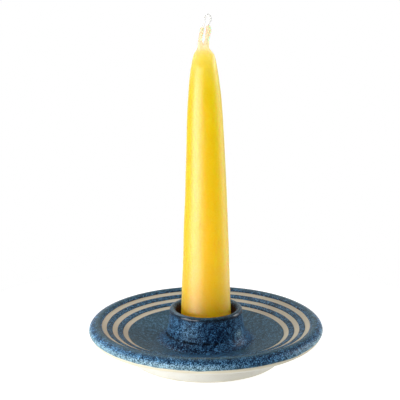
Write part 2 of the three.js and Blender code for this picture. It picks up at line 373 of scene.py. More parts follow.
def wall_line():
    """Outside of the cup from lip to crease: its radius grows with the square of the way down."""
    c = sizes().cup
    down = np.linspace(0.0, 1.0, WALL_POINTS)
    top = c.lip_height - c.lip_wall / 2
    return np.stack([c.foot_radius - c.foot_flare * (1 - down**2), top + (c.coil_top - top) * down], axis=1)


def bore_line():
    """Bore of the cup from the seat up to the lip: a straight flare."""
    s = sizes().saucer
    mouth = lip_line()[0]
    return np.array([[mouth[0] - sizes().cup.mouth_flare, s.seat_height], mouth])


def coil_line():
    """Face of the coil: a flat ledge at the crease, then a hollow curve, quadratic in three corner points."""
    s, c = sizes().saucer, sizes().cup
    inner = c.foot_radius + c.slip_joint
    ledge = np.array([inner + c.coil_ledge, c.coil_top])
    hollow = np.array([inner + c.hollow_out, s.seat_height + c.hollow_up])
    foot = np.array([c.coil_radius, s.seat_height])
    t = np.linspace(0.0, 1.0, COIL_POINTS)[:, None]
    curve = ledge * (1 - t) ** 2 + hollow * 2 * t * (1 - t) + foot * t**2
    return joined([[inner, c.coil_top]], curve)


# Surfaces


def mesh_object(name, points, faces, marks=None, uv=None):
    """A smooth mesh from an array of points and arrays of faces, with float marks on its points and, where
    given, a map of its face corners."""
    mesh = bpy.data.meshes.new(name)
    mesh.from_pydata(points.tolist(), [], [face for group in faces for face in group.tolist()])
    mesh.polygons.foreach_set("use_smooth", np.ones(len(mesh.polygons), bool))
    for mark, values in (marks or {}).items():
        layer = mesh.attributes.new(mark, "FLOAT", "POINT")
        layer.data.foreach_set("value", np.ascontiguousarray(values, np.float32))
    if uv is not None:
        mesh.uv_layers.new(name="along").data.foreach_set("uv", uv.astype(np.float32).ravel())
    mesh.update()
    obj = bpy.data.objects.new(name, mesh)
    bpy.context.scene.collection.objects.link(obj)
    return obj


def ring_quads(first, second):
    """Faces between two closed rings of point numbers, each edge of one to the same edge of the other."""
    return np.stack([first, np.roll(first, -1, -1), np.roll(second, -1, -1), second], axis=-1).reshape(-1, 4)


def wavering(theta, seed, lowest, highest):
    """Uneven line round a piece, about -1 to 1: cosines of whole numbers of turns with seeded phases."""
    chance = np.random.default_rng(seed)
    turns = np.arange(lowest, highest + 1)
    phase = chance.uniform(0, 2 * math.pi, len(turns))
    size = chance.uniform(0.4, 1.0, len(turns))
    waves = size * np.cos(np.multiply.outer(theta, turns) + phase)
    return waves.sum(axis=-1) / np.sqrt((size**2).sum() * 2)


def warped(r, z, theta):
    """Height that the dish's stripes and crest gain towards the front: the rise, times ((1 - sin t) / 2) to
    the fourth, times a smooth step in r over the outer half of the floor, times one in z from below the
    floor up."""
    s, c = sizes().saucer, sizes().cup
    outer = eased((r - c.coil_radius) / (stripe_edges()[1, 1] - c.coil_radius))
    upper = eased((z - floor_height(r)) / s.front_rise_depth + 1)
    return s.front_rise * ((1 - np.sin(theta)) / 2) ** 4 * outer * upper


def turned(name, outline, marks=None, shift=None):
    """A piece turned on the wheel. Its point at row i and angle t is (r cos t, r sin t, z), where (r, z) is
    point i of the outline plus the shift for that row and angle and the dish's warp there, and r grows by the
    wobble times cos 2(t - t0) times the square of its share of the rim radius. An outline that starts and
    ends on the axis closes in two poles."""
    s = sizes().saucer
    theta = np.arange(s.sides) * 2 * math.pi / s.sides
    section = outline[:, None, :] + (0 if shift is None else shift)
    r = np.broadcast_to(section[..., 0], (len(outline), s.sides))
    z = section[..., 1] + warped(r, section[..., 1], theta)
    oval = s.wobble * np.cos(2 * (theta - s.wobble_turn * QUARTER))
    r = r + oval * (r / s.rim_radius) ** 2
    points = np.stack([r * np.cos(theta), r * np.sin(theta), z], axis=-1)
    marks = {k: np.broadcast_to(np.reshape(v, (len(outline), -1)), r.shape) for k, v in (marks or {}).items()}
    number = np.arange(r.size).reshape(r.shape)
    if outline[0, 0] > SAME_POINT:
        faces = [ring_quads(number, np.roll(number, -1, 0))]
        return mesh_object(name, points.reshape(-1, 3), faces, {k: v.ravel() for k, v in marks.items()})
    number = number[:-2] + 1
    last = number[-1, -1] + 1
    bottom, top = np.zeros_like(number[0]), np.full_like(number[0], last)
    faces = [
        np.stack([bottom, np.roll(number[0], -1), number[0]], axis=1),
        ring_quads(number[:-1], number[1:]),
        np.stack([number[-1], np.roll(number[-1], -1), top], axis=1),
    ]
    marks = {k: np.concatenate([v[0, :1], v[1:-1].ravel(), v[-1, :1]]) for k, v in marks.items()}
    points = np.concatenate([points[0, :1], points[1:-1].reshape(-1, 3), points[-1, :1]])
    return mesh_object(name, points, faces, marks)


CORNER_SLACK = 0.985


class Coat:
    """A coat of glaze over a line of clay, as a closed outline with what is known of each of its points.

    Its under face is the clay line moved out by the bond. Its over face is the line moved out by the bond and
    the thickness times the square root of 1 - (1 - d / edge) squared, where d is the way to the nearest open
    end. Points that end up nearer the clay than that, in its corners, are left out, and the rest is
    softened."""

    def __init__(self, clay, ends, under_step=0.0008, over_step=0.0003, rounds=6):
        g = sizes().glaze
        fine = evenly(clay, over_step / 3)
        along = travelled(fine)
        from_ends = (along, along[-1] - along)
        to_end = np.minimum(*[way if open_end else np.inf for way, open_end in zip(from_ends, ends)])
        thick = g.thickness * np.sqrt(1 - (1 - np.clip(to_end / g.edge, 0, 1)) ** 2)
        over = fine + leftward(fine) * (g.bond + thick)[:, None]
        clear = nearest(over, fine) > (g.bond + thick) * CORNER_SLACK
        clear[[0, -1]] = True
        over = evenly(softened(evenly(over[clear], over_step / 3), rounds), over_step)
        coarse = evenly(clay, under_step)
        under = coarse + leftward(coarse) * g.bond
        if not ends[0]:
            under[0, 0] = over[0, 0] = 0.0
        self.outline = np.concatenate([under, over[::-1]])
        self.over = np.append(np.zeros(len(under)), np.ones(len(over)))
        ways = [self.closeness(line, end) for end in (0, -1) for line in (under, over)]
        self.start = np.append(ways[0], ways[1][::-1])
        self.end = np.append(ways[2], ways[3][::-1])
        self.along = np.append(np.gradient(under, axis=0), np.gradient(over, axis=0)[::-1], axis=0)
        self.along /= np.linalg.norm(self.along, axis=1, keepdims=True)

    def closeness(self, line, end):
        """1 at one end of a line, falling off as a bell curve over the width of the glaze's edge."""
        way = np.linalg.norm(line - line[end], axis=1)
        return np.exp(-((way / sizes().glaze.edge) ** 2))

    def wavered(self, start=None, end=None):
        """Shift that lets the open ends wander along the clay, by a length for each angle."""
        shift = 0
        for weight, wander in ((self.start, start), (self.end, end)):
            if wander is not None:
                shift = shift + (weight[:, None] * self.along)[:, None, :] * wander[:, None]
        return shift


def dressed(obj, body, slot, material, *nodes):
    """Gives a piece its material and body, and lets it stand for nodes of the frame. Its slot is not used."""
    obj.data.materials.append(material)
    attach(obj, body)
    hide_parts(*nodes)
    return obj


# Route of the wick above the neck, sideways and upwards from the neck's middle, in millimetres

LEFT_LEG = ((-1.55, 1.1), (-1.36, 2.7), (-1.02, 4.8), (-0.6, 6.9), (-0.28, 8.6))
LOOP = (
    (0.14, 9.7), (0.39, 11.2), (0.51, 12.5), (1.05, 13.35), (1.89, 13.7),
    (2.68, 13.2), (2.98, 12.25), (2.81, 11.2), (2.18, 10.2),
)
RIGHT_LEG = ((1.9, 9.4), (2.18, 8.4), (2.31, 7.3), (1.97, 5.6), (1.68, 3.9), (1.56, 1.6))
CORE_POINTS = 6
ROUTE_STEPS = 24
MILLIMETRE = 0.001


def through(points, steps):
    """Smooth route through points. On each stretch it is the cubic that leaves and arrives along the mean of
    the two chords that meet there, each weighted by the other one's length."""
    chord = np.diff(points, axis=0)
    reach = np.linalg.norm(chord, axis=1, keepdims=True)
    pace = chord / reach
    inner = (pace[:-1] * reach[1:] + pace[1:] * reach[:-1]) / (reach[:-1] + reach[1:])
    lean = np.concatenate([pace[:1], inner, pace[-1:]])
    t = (np.arange(steps) / steps)[None, :, None]
    start, stop = points[:-1, None], points[1:, None]
    leave, arrive = (lean[:-1] * reach)[:, None], (lean[1:] * reach)[:, None]
    curve = start * (2 * t**3 - 3 * t**2 + 1) + leave * (t**3 - 2 * t**2 + t)
    curve = curve + stop * (3 * t**2 - 2 * t**3) + arrive * (t**3 - t**2)
    return np.append(curve.reshape(-1, points.shape[1]), points[-1:], axis=0)


def bow_at(z):
    """Bend of the candle to the left at a height: the bow times the cube of the share of the bow height."""
    t = sizes().taper
    above = np.maximum(z - t.base_height - t.straight_foot, 0.0)
    return -t.bow * (above / t.bow_height) ** 3


def neck_top():
    """Height at which the tip ends in the neck."""
    return sizes().taper.base_height + sizes().taper.neck


def wick_route(bottom):
    """Course of the doubled wick as (x, z): up the core on the left, round the loop, down on the right."""
    w, top = sizes().wick, neck_top()
    z = np.linspace(bottom, top - w.core_depth, CORE_POINTS)
    beside = w.radius + w.strand_gap / 2
    above = np.array(LEFT_LEG + LOOP + RIGHT_LEG) * MILLIMETRE + [bow_at(top), top]
    left = np.stack([bow_at(z) - beside, z], axis=1)
    right = np.stack([bow_at(z) + beside, z], axis=1)
    return through(np.concatenate([left, above, right[::-1]]), ROUTE_STEPS)


def wax_radius(height):
    """Radius of the wax at a height over its base. The stem loses slope times height and growth times height
    squared; the tip rounds into the neck by the square root of 1 less the tip's share to its squareness."""
    t = sizes().taper
    stem = t.base_radius - t.slope * height - t.slope_growth * height**2
    tip = np.clip((height - t.shoulder) / (t.neck - t.shoulder), 0.0, 1.0)
    return t.neck_radius + (stem - t.neck_radius) * np.sqrt(1 - tip**t.tip_squareness)


# Unevenness of the wax: its finer waves against its broad ones, and where it fades out

FINE_WAVES = 0.45
LONG_RUNS = 0.2
FOOT_FADE = 0.004
NECK_FADE = 0.012


def dipped(theta, height):
    """Unevenness of the dipped surface, by rows of height and columns of angle: waves round it times waves up
    it, which fade out at the base's edge and at the neck."""
    t = sizes().taper
    up = height / t.neck * TURN
    broad = wavering(up, 3, 2, 6)[:, None] * wavering(theta, 4, 1, 3)
    fine = wavering(up, 5, 7, 16)[:, None] * wavering(theta, 6, 2, 7)
    runs = wavering(up, 7, 1, 3)[:, None] * wavering(theta, 8, 9, 17)
    fade = eased(height / FOOT_FADE) * eased((t.neck - height) / NECK_FADE)
    return t.lump * (broad + FINE_WAVES * fine + LONG_RUNS * runs) * fade[:, None]


# Rows of the wax

FOOT_ROWS = 9
WORN_ROWS = 8
STEM_STEP = 0.0009
TIP_ROWS = 90
WEB_ROWS = 12
LEAN_BELOW = 0.004
LEAN_WIDTH = 0.005

# Split of the tip into the two legs

CLEFT_POINTS = 12
CLEFT_TURN = math.radians(150)
CLEFT_ARCH = 0.00022
LEG_END = 0.0006
LEG_BLEND = 0.0022
SPLIT_RISE = 0.0035
SPLIT_WAIST = 0.0006
LEG_STEP = 0.00014
SWELL_AT = 0.68
SWELL_WIDTH = 0.22


def split_outline(middle, left, right, radius, waist):
    """Outline round two strands, as (x, y) at the body's columns: a part circle round each, whose ends are
    drawn in to the two waist points between them, in front and behind. It starts at the front and goes round
    the right."""
    half = sizes().taper.columns // 2
    turn = np.linspace(-CLEFT_TURN, CLEFT_TURN, half + 1)
    pull = eased((np.abs(turn) - QUARTER) / (CLEFT_TURN - QUARTER))[:, None]
    waists = np.stack([np.full_like(turn, middle), np.sign(turn) * waist], axis=1)
    ring = np.stack([np.cos(turn), np.sin(turn)], axis=1)
    right_side = ([right, 0] + radius[1] * ring) * (1 - pull) + waists * pull
    left_side = ([left, 0] - radius[0] * ring) * (1 - pull) + waists * [1, -1] * pull
    return np.concatenate([right_side, left_side[1:-1]])


def leg_turns():
    """Angles of a leg's columns: those on its side of the split outline, then those in the cleft."""
    half = sizes().taper.columns // 2
    outer = np.linspace(-CLEFT_TURN, CLEFT_TURN, half + 1)
    cleft = np.linspace(CLEFT_TURN, TURN - CLEFT_TURN, CLEFT_POINTS + 1)
    return np.append(outer, cleft[1:-1])


def rings_along(route, radius, turns):
    """Rings of a tube round a route in the plane y = 0: centre + radius (side cos a + depth sin a). Depth is
    the y axis, and side is the route's direction turned by a quarter turn in that plane."""
    along = np.gradient(route, axis=0)
    along /= np.linalg.norm(along, axis=1, keepdims=True)
    side = np.stack([along[:, 1], np.zeros(len(route)), -along[:, 0]], axis=1)
    centre = np.stack([route[:, 0], np.zeros(len(route)), route[:, 1]], axis=1)
    radius = np.broadcast_to(radius, len(route))[:, None, None]
    across = side[:, None] * np.cos(turns)[:, None] + np.array([0, 1, 0]) * np.sin(turns)[:, None]
    return centre[:, None] + radius * across


def leg_rows(route, first_ring, coat, swell, turns):
    """Rows of one wax leg from the split up to its rounded end, where the bare strand comes out.

    The leg's radius is the strand's and the coat's, more by the swell as a bell curve two thirds of the way
    up. It leaves the ring at the split and takes its own round shape over the blend, as a smooth step. At the
    top it closes by a quarter of an ellipse."""
    split = neck_top() + sizes().taper.web_height
    leg = evenly(route[route[:, 1] >= split], LEG_STEP)
    way = travelled(leg)
    share_up = way / way[-1]
    thick = sizes().wick.radius + coat + swell * np.exp(-(((share_up - SWELL_AT) / SWELL_WIDTH) ** 2))
    end = np.clip((way - (way[-1] - LEG_END)) / LEG_END, 0.0, 1.0)
    round_rows = rings_along(leg, thick * np.sqrt(1 - end**2), turns)
    kept = eased(way / LEG_BLEND)[:, None, None]
    centre = np.stack([leg[:, 0], np.zeros(len(leg)), leg[:, 1]], axis=1)
    drawn = first_ring + (centre - centre[0])[:, None]
    return (drawn * (1 - kept) + round_rows * kept)[1:]


def wax_rows(theta):
    """Rows of the wax body as points (x, y, z), from round the middle of its base out to the base's edge, up
    the stem and in to the split of the wick. Section at height z: bow(z) + R (cos t, f sin t), where f
    flattens the tip."""
    t = sizes().taper
    worn = arc((t.base_radius - t.base_edge, t.base_edge), (t.base_edge, t.base_edge), -1, 0, WORN_ROWS)
    worn[:, 0] -= t.slope * t.base_edge
    flat = np.stack([np.linspace(0.1, 1.0, FOOT_ROWS)[:-1] * worn[0, 0], np.zeros(FOOT_ROWS - 1)], axis=1)
    worn = np.concatenate([flat, worn])
    stem = np.arange(t.base_edge + STEM_STEP, t.shoulder, STEM_STEP)
    tip_length = t.neck - t.shoulder
    tip = t.shoulder + tip_length * np.sin(np.linspace(0, QUARTER, TIP_ROWS))
    web = t.neck + np.linspace(0.0, t.web_height, WEB_ROWS + 1)[1:]
    height = np.concatenate([stem, tip, web])
    radius = np.append(worn[:, 0], wax_radius(np.minimum(height, t.neck)))
    height = np.append(worn[:, 1], height)
    z = t.base_height + height
    flatten = 1 - t.flattening * eased((height - t.neck + t.flattening_height) / t.flattening_height)
    reach = radius[:, None] + dipped(theta, height)
    body = np.stack([reach * np.cos(theta), reach * np.sin(theta) * flatten[:, None]], axis=-1)
    lean = t.shoulder_lean * np.exp(-(((height - t.neck + LEAN_BELOW) / LEAN_WIDTH) ** 2))
    body[..., 0] += (bow_at(z) + lean)[:, None]
    part = eased((height - t.neck + SPLIT_RISE) / (SPLIT_RISE + t.web_height))[:, None, None]
    body = body * (1 - part) + split_of_wick() * part
    return np.concatenate([body, np.broadcast_to(z[:, None, None], (*body.shape[:2], 1))], axis=-1)


def split_of_wick():
    """Outline of the wax where the two legs part, round the two strands at that height."""
    t, w = sizes().taper, sizes().wick
    route = wick_route(t.base_height)
    level = neck_top() + t.web_height
    turn = len(route) // 2
    left = np.interp(level, route[:turn, 1], route[:turn, 0])
    right = np.interp(level, route[:turn:-1, 1], route[:turn:-1, 0])
    radii = (w.radius + w.left_coat, w.radius + w.right_coat)
    return split_outline((left + right) / 2, left, right, radii, SPLIT_WAIST)


def cleft_line(front, behind, rise):
    """Line between the legs from behind to the front: straight, and arched up by rise times 1 less the square
    of the way from its middle. Its ends, which are on the outline, aren't in it."""
    t = np.linspace(0.0, 1.0, CLEFT_POINTS + 1)[1:-1, None]
    line = behind * (1 - t) + front * t
    line[:, 2] += rise * (1 - (2 * t[:, 0] - 1) ** 2)
    return line


def build_wax():
    """The dipped taper as one closed surface: the body's rows end in a split outline, whose two halves and
    the line between them are the first rings of the two legs. Base and legs close in a point each."""
    t, w = sizes().taper, sizes().wick
    columns, half = t.columns, t.columns // 2
    theta = -QUARTER + np.arange(columns) * 2 * math.pi / columns
    body = wax_rows(theta)
    cleft = cleft_line(body[-1, 0], body[-1, half], CLEFT_ARCH)
    numbers = np.arange(body[..., 0].size).reshape(body.shape[:2])
    cleft_numbers = numbers.size + np.arange(len(cleft))
    count = numbers.size + len(cleft) + 1
    points = [body.reshape(-1, 3), cleft, [[0.0, 0.0, t.base_height]]]
    base = np.stack([np.full(columns, count - 1), np.roll(numbers[0], -1), numbers[0]], axis=1)
    faces = [ring_quads(numbers[:-1], numbers[1:]), base]
    route = wick_route(t.base_height)
    turn = ROUTE_STEPS * (CORE_POINTS + len(LEFT_LEG) - 1)
    back = ROUTE_STEPS * (CORE_POINTS + len(LEFT_LEG) + len(LOOP))
    right, left = np.arange(half + 1), np.append(np.arange(half, columns), 0)
    legs = (
        (route[back:][::-1], right, 1, w.right_coat, w.right_swell, 0.0),
        (route[: turn + 1], left, -1, w.left_coat, w.left_swell, math.pi),
    )
    for strand, side, order, coat, swell, facing in legs:
        first = np.concatenate([body[-1][side], cleft[::order]])
        rows = leg_rows(strand, first, coat, swell, leg_turns() + facing)
        rings = count + np.arange(rows[:-1, :, 0].size).reshape(len(rows) - 1, -1)
        count += rings.size + 1
        points += [rows[:-1].reshape(-1, 3), rows[-1, :1]]
        rings = np.concatenate([np.append(numbers[-1][side], cleft_numbers[::order])[None], rings])
        end = np.stack([rings[-1], np.roll(rings[-1], -1), np.full(len(rings[-1]), count - 1)], axis=1)
        faces += [ring_quads(rings[:-1], rings[1:]), end]
    return mesh_object("wax", np.concatenate(points), faces)


# Length of strand on each side of the loop's middle that is shown, and steps along it there and in the wax

WICK_SHOWN = 0.02
SHOWN_STEP = 0.00008
HIDDEN_STEP = 0.00024
PLIES = 3
PLY_SIDES = 10


def build_wick():
    """The plaited cotton strand: three plies round one route. Ply k runs beside the route by
    a sin(u + k / 3 turn) and in front of it by b sin 2(u + k / 3 turn), with one turn of u for each plait
    length."""
    t, w = sizes().taper, sizes().wick
    route = wick_route(t.base_height + w.base_inset)
    way = travelled(route)
    shown = (way > way[-1] / 2 - WICK_SHOWN) & (way < way[-1] / 2 + WICK_SHOWN)
    ends = way[shown][[0, -1]]
    at = np.concatenate([
        np.arange(0.0, ends[0], HIDDEN_STEP),
        np.arange(ends[0], ends[1], SHOWN_STEP),
        np.arange(ends[1], way[-1], HIDDEN_STEP),
    ])
    x, z = (np.interp(at, way, axis) for axis in route.T)
    centre = np.stack([x, np.zeros(len(at)), z], axis=1)
    along = np.gradient(centre, axis=0)
    along /= np.linalg.norm(along, axis=1, keepdims=True)
    depth = np.array([0.0, 1.0, 0.0])
    side = np.cross(depth, along)
    around = np.arange(PLY_SIDES) * 2 * math.pi / PLY_SIDES
    points, tubes, caps, uv, count = [], [], [], [], 0
    for phase in np.arange(PLIES) * 2 * math.pi / PLIES:
        u = (at / w.plait * 2 * math.pi + phase)[:, None]
        ply = centre + side * np.sin(u) * (w.radius - w.ply_radius) + depth * np.sin(2 * u) * w.ply_radius
        course = np.gradient(ply, axis=0)
        course /= np.linalg.norm(course, axis=1, keepdims=True)
        first = np.cross(depth, course)
        first /= np.linalg.norm(first, axis=1, keepdims=True)
        second = np.cross(course, first)
        ring = first[:, None] * np.cos(around)[:, None] + second[:, None] * np.sin(around)[:, None]
        tube = ply[:, None] + ring * w.ply_radius
        numbers = count + np.arange(tube[..., 0].size).reshape(tube.shape[:2])
        count += numbers.size
        points.append(tube.reshape(-1, 3))
        tubes.append(ring_quads(numbers[:-1], numbers[1:]))
        caps += [numbers[:1, ::-1], numbers[-1:]]
        way_on = at[:, None] / MILLIMETRE
        ahead = np.stack([way_on[:-1], way_on[:-1], way_on[1:], way_on[1:]], axis=-1)
        turn = np.arange(PLY_SIDES)[:, None] + [0, 1, 1, 0]
        corners = np.broadcast_arrays(ahead, turn / PLY_SIDES)
        uv.append(np.stack(corners, axis=-1).reshape(-1, 2))
    uv.append(np.zeros((len(caps) * PLY_SIDES, 2)))
    return mesh_object("cotton", np.concatenate(points), tubes + caps, uv=np.concatenate(uv))


# Finishes


class Shading:
    """Adds nodes to a tree, each with its values or links by socket name."""

    def __init__(self, tree):
        self.tree = tree

    def feed(self, socket, value):
        """Gives an input a plain value, or links another node's output to it."""
        if isinstance(value, bpy.types.NodeSocket):
            self.tree.links.new(value, socket)
        else:
            socket.default_value = value

    def dress(self, node, values):
        """Feeds a node's inputs by name."""
        for name, value in values.items():
            self.feed(node.inputs[name], value)

    def add(self, kind, values=None, **settings):
        """A node of a kind, with its settings, whose inputs take plain values or another node's output."""
        node = self.tree.nodes.new("ShaderNode" + kind)
        for name, value in settings.items():
            setattr(node, name, value)
        self.dress(node, values or {})
        return node

    def maths(self, operation, first, second=0.0, third=0.0):
        """The result of one sum on two numbers, or on three."""
        return self.add("Math", {0: first, 1: second, 2: third}, operation=operation).outputs[0]

    def between(self, mask, first, second):
        """A colour between two others, by a mask from 0 to 1."""
        node = self.add("Mix", data_type="RGBA")
        self.dress(node, {0: mask, 6: first, 7: second})
        return node.outputs[2]

    def ranged(self, value, low, high, start=0.0, stop=1.0):
        """A value mapped from one range to another as a smooth step, and kept inside it."""
        node = self.add("MapRange", interpolation_type="SMOOTHSTEP")
        self.dress(node, dict(enumerate((value, low, high, start, stop))))
        return node.outputs[0]


def effect(name, inputs, outputs, build):
    """A node group with named inputs and outputs, made once and kept under its name."""
    if name in bpy.data.node_groups:
        return bpy.data.node_groups[name]
    tree = bpy.data.node_groups.new(name, "ShaderNodeTree")
    for socket, default in inputs.items():
        entry = tree.interface.new_socket(socket, in_out="INPUT", socket_type="NodeSocketFloat")
        entry.default_value = default
    for socket in outputs:
        tree.interface.new_socket(socket, in_out="OUTPUT", socket_type="NodeSocketFloat")
    made = build(Shading(tree), tree.nodes.new("NodeGroupInput").outputs)
    closing = tree.nodes.new("NodeGroupOutput")
    for socket, value in zip(outputs, made):
        tree.links.new(value, closing.inputs[socket])
    return tree


# Crystals: the wide noise's scale and pull on the fine one, where spots start and end, and their haze

CLOUD_SCALE = 0.22
CLOUD_PULL = 0.35
SPOT_START = 0.608
SPOT_GAIN = 0.13
SPOT_EDGE = 0.03
PEAKS_IN_HAZE = 0.7
CLOUDS_IN_HAZE = 0.3
HAZE_RANGE = (0.38, 0.6)

# Grain: bounds of the patches, and scale, inside and outside of the specks

PATCH_RANGE = (0.35, 0.65)
SPECK_SCALE = 0.25
SPECK_RANGE = (0.06, 0.13)


def crystals(s, given):
    """Crystals in glass: peaks of a fine noise, denser where a wide one is high, and a haze round them."""
    place = s.add("TexCoord").outputs["Object"]
    fine = s.maths("DIVIDE", 1.0, given["Grain"])
    wide = s.maths("MULTIPLY", fine, CLOUD_SCALE)
    peaks, clouds = (
        s.add("TexNoise", {"Vector": place, "Scale": scale, "Detail": detail, "Roughness": rough}).outputs[0]
        for scale, detail, rough in ((fine, 2.0, 0.7), (wide, 3.0, 0.55))
    )
    crowd = s.maths("MULTIPLY", s.maths("SUBTRACT", clouds, 0.5), CLOUD_PULL)
    start = s.maths("SUBTRACT", SPOT_START, s.maths("MULTIPLY", given["Amount"], SPOT_GAIN))
    low = s.maths("SUBTRACT", start, crowd)
    spots = s.ranged(peaks, low, s.maths("ADD", low, SPOT_EDGE))
    high, broad = s.maths("MULTIPLY", peaks, PEAKS_IN_HAZE), s.maths("MULTIPLY", clouds, CLOUDS_IN_HAZE)
    return spots, s.ranged(s.maths("ADD", high, broad), *HAZE_RANGE), peaks


def grains(s, given):
    """Fine grain: one small noise, a patchy wide one, and sparse dark specks from the cells of a third."""
    place = s.add("TexCoord").outputs["Object"]
    fine = s.maths("DIVIDE", 1.0, given["Grain"])
    sand = s.add("TexNoise", {"Vector": place, "Scale": fine, "Detail": 2.0}).outputs["Fac"]
    broad = s.maths("DIVIDE", 1.0, given["Patch"])
    patches = s.add("TexNoise", {"Vector": place, "Scale": broad, "Detail": 3.0}).outputs["Fac"]
    sparse = s.maths("MULTIPLY", fine, SPECK_SCALE)
    cells = s.add("TexVoronoi", {"Vector": place, "Scale": sparse}).outputs["Distance"]
    specks = s.ranged(cells, *SPECK_RANGE, 1.0, 0.0)
    return sand, s.ranged(patches, *PATCH_RANGE), specks


def grouped(s, tree, **values):
    """A node group placed in a tree, with its own values."""
    node = s.tree.nodes.new("ShaderNodeGroup")
    node.node_tree = tree
    s.dress(node, values)
    return node.outputs


def speckle(s, grain, amount):
    """The crystals group, placed with its grain in metres and the amount of crystals from a mark."""
    tree = effect("Glass crystals", {"Grain": 0.001, "Amount": 0.5}, ("Spots", "Haze", "Height"), crystals)
    return grouped(s, tree, Grain=grain, Amount=amount)


def sandy(s, grain, patch):
    """The grain group, placed with its two sizes in metres."""
    tree = effect("Fine grain", {"Grain": 0.0003, "Patch": 0.01}, ("Sand", "Patches", "Specks"), grains)
    return grouped(s, tree, Grain=grain, Patch=patch)


def mark(s, name):
    """A float mark that a surface's function has put on its points."""
    return s.add("Attribute", attribute_name=name).outputs["Fac"]


def opaque(value):
    """A colour property with its alpha."""
    return (*value, 1.0)


def material(name):
    """A material with its own Principled BSDF, and the tools to add to it."""
    made = bpy.data.materials.new(name)
    made.use_nodes = True
    return made, Shading(made.node_tree), made.node_tree.nodes["Principled BSDF"]


def bumped(s, shader, height, depth):
    """Lets a height in units of depth, in metres, tilt a shader's normal."""
    bump = s.add("Bump", {"Height": height, "Distance": depth, "Strength": 1.0})
    s.feed(shader.inputs["Normal"], bump.outputs["Normal"])


def veiled(s, colour_below, colour_above, mask, amount):
    """A colour laid over another, by an amount of a mask."""
    return s.between(s.maths("MULTIPLY", mask, amount), colour_below, colour_above)


GLAZE_MARKS = ("frost", "thin", "pooled", "shade_and_wax_light", "gloss")

# Glaze: how much of each effect shows, where pools turn dull, its gloss and its relief

MILK_LEAST = 0.2
MILK_IN_HAZE = 0.6
SPOTS_SHOWN = 0.9
THIN_SHOWN = 0.85
POOLED_SHOWN = 0.93
BORE_SHADE_SHOWN = 0.9
THIN_SMOOTHER = 0.7
POOLED_ROUGHNESS = 0.7
POOLED_FROM = 0.2
GLASS_INDEX = 1.2
GLOSS_ROUGHNESS = 0.15
CRYSTAL_RELIEF = 0.00009


def glaze_material():
    """Satin blue glass full of pale crystals, milky where they crowd, thin over crests and dark in corners.
    Its marks also paint light: sheen on the floor and bands, highlight, sheen and shade as more or fewer
    crystals, shade in the crease, and shade and warm light from the wax in the bore.
    """
    look = sizes().glaze_look
    made, s, shader = material("Speckled blue glaze")
    frost, thin, pooled, shade_and_wax_light, gloss = (mark(s, name) for name in GLAZE_MARKS)
    # The frost mark is the amount of crystals, and in places painted light as more or fewer of them
    spots = speckle(s, look.grain, frost)
    dense = s.maths("POWER", frost, 2.0)
    milky = s.maths("MULTIPLY", dense, s.maths("MULTIPLY_ADD", spots["Haze"], MILK_IN_HAZE, MILK_LEAST))
    crystal = s.between(dense, opaque(look.pale), opaque(look.frost))
    glass = s.between(spots["Haze"], opaque(look.deep), opaque(look.middle))
    glass = s.between(milky, glass, opaque(look.milk))
    glass = veiled(s, glass, crystal, spots["Spots"], SPOTS_SHOWN)
    glass = veiled(s, glass, opaque(look.thin), thin, THIN_SHOWN)
    glass = veiled(s, glass, opaque(look.pooled), pooled, POOLED_SHOWN)
    glass = veiled(s, glass, opaque(look.shade_and_wax_light), shade_and_wax_light, BORE_SHADE_SHOWN)
    satin = s.ranged(thin, 0.0, 1.0, look.roughness, look.roughness * THIN_SMOOTHER)
    satin = s.ranged(pooled, POOLED_FROM, 1.0, satin, POOLED_ROUGHNESS)
    s.dress(shader, {
        "Base Color": glass,
        "Roughness": satin,
        "IOR": GLASS_INDEX,
        "Coat Weight": gloss,
        "Coat Roughness": GLOSS_ROUGHNESS,
    })
    bumped(s, shader, spots["Height"], CRYSTAL_RELIEF)
    return made


# Clay: size of its patches, scorched patches and specks of iron, and how much of them shows

CLAY_PATCH = 0.012
SCORCH = 0.82
SCORCH_SHOWN = 0.22
IRON = (0.2, 0.15, 0.1, 1.0)
IRON_SHOWN = 0.35
SAND_RELIEF = 0.00005


def clay_material():
    """Unglazed stoneware: pale under the dish, warmer and darker on top and at the foot's edge, with painted
    shade where the foot meets the underside; sandy and dull.
    """
    look = sizes().clay_look
    made, s, shader = material("Bare stoneware")
    grain = sandy(s, look.grain, CLAY_PATCH)
    clay = s.between(mark(s, "tone_and_shade"), opaque(look.pale), opaque(look.warm_tone))
    scorched = opaque(channel * SCORCH for channel in look.warm_tone)
    clay = veiled(s, clay, scorched, grain["Patches"], SCORCH_SHOWN)
    clay = veiled(s, clay, IRON, grain["Specks"], IRON_SHOWN)
    s.dress(shader, {"Base Color": clay, "Roughness": look.roughness})
    bumped(s, shader, grain["Sand"], SAND_RELIEF)
    return made


# Wax: its grain and patches, the streaks of bloom, the tip that is drawn thin, its gloss, its depth, and the
# painted glow in the thin tip

WAX_GRAIN = 0.0007
WAX_PATCH = 0.009
STREAK_SCALE = (420.0, 420.0, 22.0)
STREAK_RANGE = (0.45, 0.7)
BLOOM_SHOWN = 0.4
DRAWN_BELOW_NECK = 0.022
DRAWN_ABOVE_NECK = 0.004
DULL_RANGE = (0.9, 1.1)
SHINE_RANGE = (0.4, 1.0)
SHINE_LOST_AT_TIP = -0.75
WAX_INDEX = 1.45
RED_GREEN_BLUE_REACH = (1.0, 0.07, 0.02)
FORWARD_SCATTER = 0.8
PAINTED_GLOW_ON_LEGS = 0.5
PAINTED_GLOW_STRENGTH = 0.26
STREAKS_IN_RELIEF = 0.4
GRAIN_IN_RELIEF = 0.6
WAX_RELIEF = 0.00015


